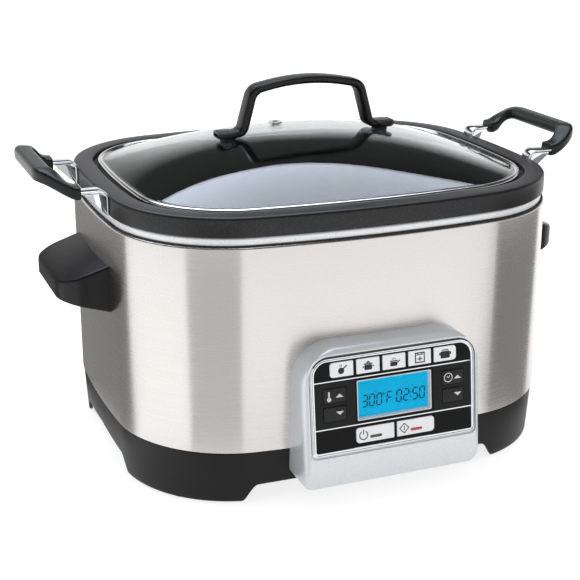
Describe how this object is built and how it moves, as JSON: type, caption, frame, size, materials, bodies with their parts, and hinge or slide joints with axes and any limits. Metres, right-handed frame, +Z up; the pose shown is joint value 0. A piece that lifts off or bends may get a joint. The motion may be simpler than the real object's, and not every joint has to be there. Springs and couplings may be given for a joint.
{
  "type": "slow cooker",
  "caption": "Countertop digital slow cooker: steel casing with side handles, lift-out coated pot, glass lid with arched handle, and a front panel of press keys around a display.",
  "frame": {"origin": "centre of the overall box on the surface the cooker stands on", "axes": "+Z up, -Y towards the control panel, +X to the right of someone facing the panel"},
  "size_m": [0.4568, 0.3316, 0.292],
  "materials": {
    "base_plastic": "satin moulded",
    "cover_plastic": "matt moulded",
    "foot_rubber": "matt",
    "black_rubber": "matt",
    "zinc_steel": "zinc plated",
    "brushed_steel": "horizontally brushed",
    "polished_steel": "polished",
    "well_aluminium": "satin",
    "mineral_wool": "fibrous",
    "handle_plastic": "satin moulded",
    "cast_aluminium": "cast",
    "element_steel": "oxidised",
    "galvanised_steel": "galvanised",
    "spring_steel": "bright drawn",
    "sensor_aluminium": "turned",
    "circuit_board": "solder mask",
    "relay_plastic": "moulded",
    "copper_winding": "varnished winding",
    "lead_silicone": "silicone sleeve",
    "ribbon_vinyl": "satin",
    "silver_paint": "satin silver",
    "chrome_trim": "polished",
    "fascia_plastic": "gloss black",
    "display_glass": "clear",
    "display_backlight": "lit blue",
    "switch_plastic": "moulded",
    "green_lens": "translucent",
    "red_lens": "translucent",
    "white_key": "gloss white",
    "black_key": "matt",
    "nonstick_aluminium": "speckled non-stick coating on cast aluminium",
    "chrome_bracket": "polished",
    "grip_plastic": "satin moulded",
    "lid_glass": "clear tempered",
    "rolled_steel": "polished and rolled"
  },
  "bodies": {
    "base": {"base_housing": "base_plastic", "bottom_cover": "cover_plastic", "foot_pads": "foot_rubber", "base_screws": "zinc_steel", "outer_casing": "brushed_steel", "casing_gasket": "black_rubber", "trim_ring": "polished_steel", "heating_well": "well_aluminium", "insulation_blanket": "mineral_wool", "side_handle_left": "handle_plastic", "side_handle_right": "handle_plastic", "side_handle_screws": "zinc_steel", "heater_plate": "cast_aluminium", "heater_tube": "element_steel", "heat_shield": "galvanised_steel", "shield_posts": "zinc_steel", "sensor_holder": "galvanised_steel", "sensor_spring": "spring_steel", "thermal_fuse": "galvanised_steel", "power_board": "circuit_board", "relay": "relay_plastic", "transformer": "copper_winding", "heater_leads": "lead_silicone", "ribbon_cable": "ribbon_vinyl", "cord_gland": "black_rubber", "panel_bezel": "silver_paint", "panel_trim": "chrome_trim", "panel_fascia": "fascia_plastic", "lcd_frame": "chrome_trim", "lcd_window": "display_glass", "lcd_module": "display_backlight", "control_board": "circuit_board", "tact_switches": "switch_plastic", "board_screws": "zinc_steel", "panel_screws": "zinc_steel"},
    "pot_sensor": {"pot_sensor": "sensor_aluminium"},
    "sear_button": {"sear_button": "white_key"},
    "slow_cook_button": {"slow_cook_button": "white_key"},
    "simmer_button": {"simmer_button": "white_key"},
    "bake_button": {"bake_button": "white_key"},
    "steam_button": {"steam_button": "white_key"},
    "temp_up_button": {"temp_up_button": "black_key"},
    "temp_down_button": {"temp_down_button": "black_key"},
    "time_up_button": {"time_up_button": "black_key"},
    "time_down_button": {"time_down_button": "black_key"},
    "power_button": {"power_button": "white_key", "power_led_lens": "green_lens"},
    "start_button": {"start_button": "white_key", "start_led_lens": "red_lens"},
    "pot": {"cooking_pot": "nonstick_aluminium", "pot_brackets": "chrome_bracket", "pot_grip_left": "grip_plastic", "pot_grip_right": "grip_plastic", "pot_bracket_screws": "chrome_bracket"},
    "lid": {"lid_glass": "lid_glass", "lid_rim": "rolled_steel", "lid_handle": "handle_plastic", "lid_handle_spacers": "black_rubber", "lid_handle_screws": "zinc_steel", "vent_eyelet": "rolled_steel"}
  },
  "joints": [
    {"name": "pot_lift", "type": "slide", "parent": "base", "child": "pot", "axis": [0, 0, 1], "range_m": [0, 0.2]},
    {"name": "lid_lift", "type": "slide", "parent": "pot", "child": "lid", "axis": [0, 0, 1], "range_m": [0, 0.15]},
    {"name": "sensor_press", "type": "slide", "parent": "base", "child": "pot_sensor", "axis": [0, 0, 1], "range_m": [-0.002, 0], "stiffness_N_per_m": 300, "springref_m": 0.001, "deforming": ["sensor_spring"]},
    {"name": "sear_press", "type": "slide", "parent": "base", "child": "sear_button", "axis": [0, 0.9927, -0.1205], "range_m": [0, 0.0008], "stiffness_N_per_m": 500},
    {"name": "slow_cook_press", "type": "slide", "parent": "base", "child": "slow_cook_button", "axis": [0, 0.9927, -0.1205], "range_m": [0, 0.0008], "stiffness_N_per_m": 500},
    {"name": "simmer_press", "type": "slide", "parent": "base", "child": "simmer_button", "axis": [0, 0.9927, -0.1205], "range_m": [0, 0.0008], "stiffness_N_per_m": 500},
    {"name": "bake_press", "type": "slide", "parent": "base", "child": "bake_button", "axis": [0, 0.9927, -0.1205], "range_m": [0, 0.0008], "stiffness_N_per_m": 500},
    {"name": "steam_press", "type": "slide", "parent": "base", "child": "steam_button", "axis": [0, 0.9927, -0.1205], "range_m": [0, 0.0008], "stiffness_N_per_m": 500},
    {"name": "temp_up_press", "type": "slide", "parent": "base", "child": "temp_up_button", "axis": [0, 0.9927, -0.1205], "range_m": [0, 0.0008], "stiffness_N_per_m": 500},
    {"name": "temp_down_press", "type": "slide", "parent": "base", "child": "temp_down_button", "axis": [0, 0.9927, -0.1205], "range_m": [0, 0.0008], "stiffness_N_per_m": 500},
    {"name": "time_up_press", "type": "slide", "parent": "base", "child": "time_up_button", "axis": [0, 0.9927, -0.1205], "range_m": [0, 0.0008], "stiffness_N_per_m": 500},
    {"name": "time_down_press", "type": "slide", "parent": "base", "child": "time_down_button", "axis": [0, 0.9927, -0.1205], "range_m": [0, 0.0008], "stiffness_N_per_m": 500},
    {"name": "power_press", "type": "slide", "parent": "base", "child": "power_button", "axis": [0, 0.9927, -0.1205], "range_m": [0, 0.0008], "stiffness_N_per_m": 500},
    {"name": "start_press", "type": "slide", "parent": "base", "child": "start_button", "axis": [0, 0.9927, -0.1205], "range_m": [0, 0.0008], "stiffness_N_per_m": 500}
  ]
}
